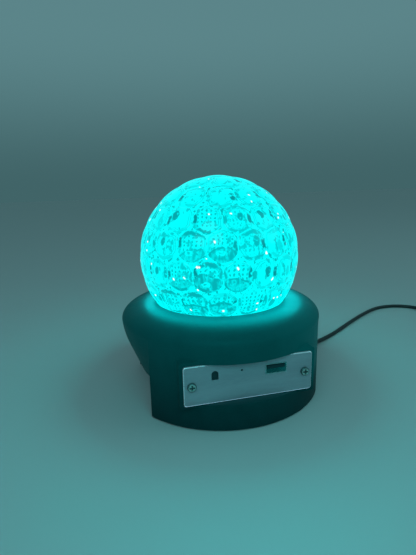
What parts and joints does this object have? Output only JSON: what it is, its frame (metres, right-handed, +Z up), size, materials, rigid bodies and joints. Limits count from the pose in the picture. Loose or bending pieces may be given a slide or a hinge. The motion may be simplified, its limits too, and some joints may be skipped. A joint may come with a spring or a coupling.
{
  "type": "led disco ball light",
  "caption": "Table light with a clear ball of bubble lenses on a drum base with a player panel, inner turning lens rotor and a USB lead.",
  "frame": {"origin": "on the table under the ball's vertical axis", "axes": "+Z up along the ball's axis; the player panel faces -Y; the lead leaves on the +X side"},
  "size_m": [0.368, 0.1752, 0.1473],
  "materials": {
    "housing_black": "fine matt texture",
    "lens_clear": "clear moulded lenses, lit from inside",
    "rotor_clear": "clear moulded",
    "white_plastic": "moulded",
    "black_plastic": "smooth",
    "board_green": "solder mask",
    "board_white": "white solder mask",
    "led_body": "clear dome, lit",
    "motor_metal": "plated can",
    "screw_steel": "nickel plated",
    "shaft_steel": "ground",
    "panel_silver": "satin silver paint",
    "ir_dark": "dark lens",
    "socket_steel": "stamped sheet",
    "tongue_black": "moulded",
    "speaker_frame": "painted sheet",
    "speaker_cone": "pressed paper",
    "magnet_dark": "ferrite",
    "rubber_black": "soft",
    "cord_black": "smooth jacket",
    "plug_steel": "stamped sheet"
  },
  "bodies": {
    "lamp": {"base_housing": "housing_black", "ball_shell": "lens_clear", "led_deck": "white_plastic", "deck_screws": "screw_steel", "led_board": "board_white", "led_emitters": "led_body", "motor_body": "motor_metal", "motor_screws": "screw_steel", "control_plate": "panel_silver", "plate_screws": "screw_steel", "ir_receiver": "ir_dark", "status_led": "led_body", "usb_socket_shell": "socket_steel", "usb_socket_tongue": "tongue_black", "player_board": "board_green", "board_screws": "screw_steel", "board_parts": "black_plastic", "bottom_cover": "housing_black", "cover_screws": "screw_steel", "rubber_feet": "rubber_black", "speaker_frame": "speaker_frame", "speaker_cone": "speaker_cone", "speaker_magnet": "magnet_dark", "speaker_screws": "screw_steel", "switch_body": "black_plastic", "strain_relief": "rubber_black", "power_cord": "cord_black", "cord_coil": "cord_black", "cord_tail": "cord_black", "cord_tie": "rubber_black", "usb_plug_body": "cord_black", "usb_plug_shell": "plug_steel"},
    "rotor": {"motor_shaft": "shaft_steel", "rotor_hub": "white_plastic", "rotor_dish": "rotor_clear"},
    "rocker": {"switch_rocker": "black_plastic"}
  },
  "joints": [
    {"name": "rotor_spin", "type": "hinge", "parent": "lamp", "child": "rotor", "pos_m": [0, 0, 0.0584], "axis": [0, 0, 1], "continuous": true},
    {"name": "rocker_tilt", "type": "hinge", "parent": "lamp", "child": "rocker", "pos_m": [0, 0.0648, 0.024], "axis": [0, 0, 1], "range_deg": [-13, 0]}
  ]
}
